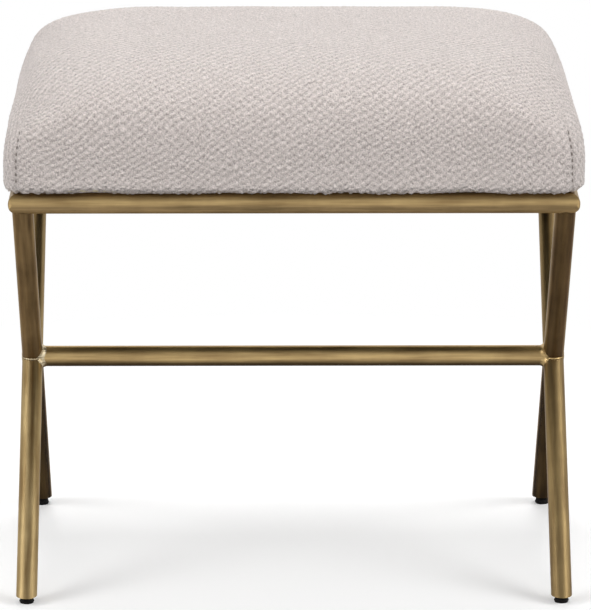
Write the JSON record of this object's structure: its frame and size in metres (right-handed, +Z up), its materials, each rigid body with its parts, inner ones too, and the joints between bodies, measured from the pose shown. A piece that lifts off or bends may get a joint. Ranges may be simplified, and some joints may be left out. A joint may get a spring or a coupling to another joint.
{
  "type": "x-frame bench",
  "caption": "Padded rectangular bench seat on a welded round tube frame with crossed legs at each end, a stretcher between the crossings and screw levellers in the feet.",
  "frame": {"origin": "on the floor, under the middle of the bench", "axes": "+Z up, +X along the seat to the right of someone facing the front, +Y from front to rear"},
  "size_m": [0.5166, 0.3836, 0.5002],
  "materials": {
    "frame": "satin antique brass, brushed along the tubes",
    "cover": "nubby woven upholstery cloth",
    "foam": "open cell foam",
    "plywood": "raw plywood",
    "dust_cloth": "black non-woven cloth",
    "steel": "bright zinc",
    "pads": "moulded black plastic"
  },
  "bodies": {
    "frame": {"front_rail": "frame", "rear_rail": "frame", "left_rail": "frame", "right_rail": "frame", "left_leg_long": "frame", "left_leg_lower": "frame", "left_leg_upper": "frame", "right_leg_long": "frame", "right_leg_lower": "frame", "right_leg_upper": "frame", "stretcher": "frame", "stretcher_welds": "frame", "seat_tabs": "frame", "leg_plugs": "steel", "seat_screws": "steel", "seat_cover": "cover", "seat_foam": "foam", "seat_board": "plywood", "dust_cover": "dust_cloth"},
    "stem_front_left": {"leveller_stem_front_left": "steel"},
    "pad_front_left": {"leveller_pad_front_left": "pads"},
    "stem_front_right": {"leveller_stem_front_right": "steel"},
    "pad_front_right": {"leveller_pad_front_right": "pads"},
    "stem_rear_left": {"leveller_stem_rear_left": "steel"},
    "pad_rear_left": {"leveller_pad_rear_left": "pads"},
    "stem_rear_right": {"leveller_stem_rear_right": "steel"},
    "pad_rear_right": {"leveller_pad_rear_right": "pads"}
  },
  "joints": [
    {"name": "front_left_lift", "type": "slide", "parent": "frame", "child": "stem_front_left", "axis": [0, 0, -1], "range_m": [0, 0.004]},
    {"name": "front_left_turn", "type": "hinge", "parent": "stem_front_left", "child": "pad_front_left", "pos_m": [-0.2415, -0.175, 0], "axis": [0, 0, -1], "range_deg": [0, 1440]},
    {"name": "front_right_lift", "type": "slide", "parent": "frame", "child": "stem_front_right", "axis": [0, 0, -1], "range_m": [0, 0.004]},
    {"name": "front_right_turn", "type": "hinge", "parent": "stem_front_right", "child": "pad_front_right", "pos_m": [0.2415, -0.175, 0], "axis": [0, 0, -1], "range_deg": [0, 1440]},
    {"name": "rear_left_lift", "type": "slide", "parent": "frame", "child": "stem_rear_left", "axis": [0, 0, -1], "range_m": [0, 0.004]},
    {"name": "rear_left_turn", "type": "hinge", "parent": "stem_rear_left", "child": "pad_rear_left", "pos_m": [-0.2415, 0.175, 0], "axis": [0, 0, -1], "range_deg": [0, 1440]},
    {"name": "rear_right_lift", "type": "slide", "parent": "frame", "child": "stem_rear_right", "axis": [0, 0, -1], "range_m": [0, 0.004]},
    {"name": "rear_right_turn", "type": "hinge", "parent": "stem_rear_right", "child": "pad_rear_right", "pos_m": [0.2415, 0.175, 0], "axis": [0, 0, -1], "range_deg": [0, 1440]}
  ],
  "couplings": [
    {"joint": "front_left_turn", "follows": "front_left_lift", "rad_per_m": 6283.2},
    {"joint": "front_right_turn", "follows": "front_right_lift", "rad_per_m": 6283.2},
    {"joint": "rear_left_turn", "follows": "rear_left_lift", "rad_per_m": 6283.2},
    {"joint": "rear_right_turn", "follows": "rear_right_lift", "rad_per_m": 6283.2}
  ]
}
